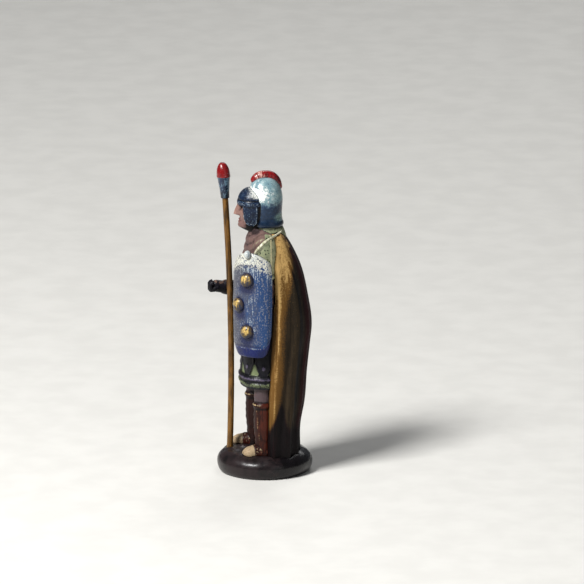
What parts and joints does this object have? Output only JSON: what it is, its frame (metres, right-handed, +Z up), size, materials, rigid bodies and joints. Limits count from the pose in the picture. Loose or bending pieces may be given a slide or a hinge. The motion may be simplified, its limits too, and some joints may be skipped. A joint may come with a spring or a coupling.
{
  "type": "toy soldier figure",
  "caption": "Small painted Roman soldier figure in a long cloak, with a curved shield, on a round pebble base; a slender spear stands in the base and leans on the wrist.",
  "frame": {"origin": "centre of the flat underside of the base", "axes": "+Z up along the soldier, -Y the way the soldier faces, +X the soldier's left side, where the shield is"},
  "size_m": [0.0151, 0.0162, 0.0487],
  "materials": {
    "painted_fired_clay": "hand painted in several colours over fired clay, satin",
    "stained_wood": "stained and lightly waxed",
    "painted_spear_point": "hand painted, red point and silver socket, glossy"
  },
  "bodies": {
    "root": {"figure": "painted_fired_clay", "spear_shaft": "stained_wood", "spear_head": "painted_spear_point"}
  },
  "joints": []
}
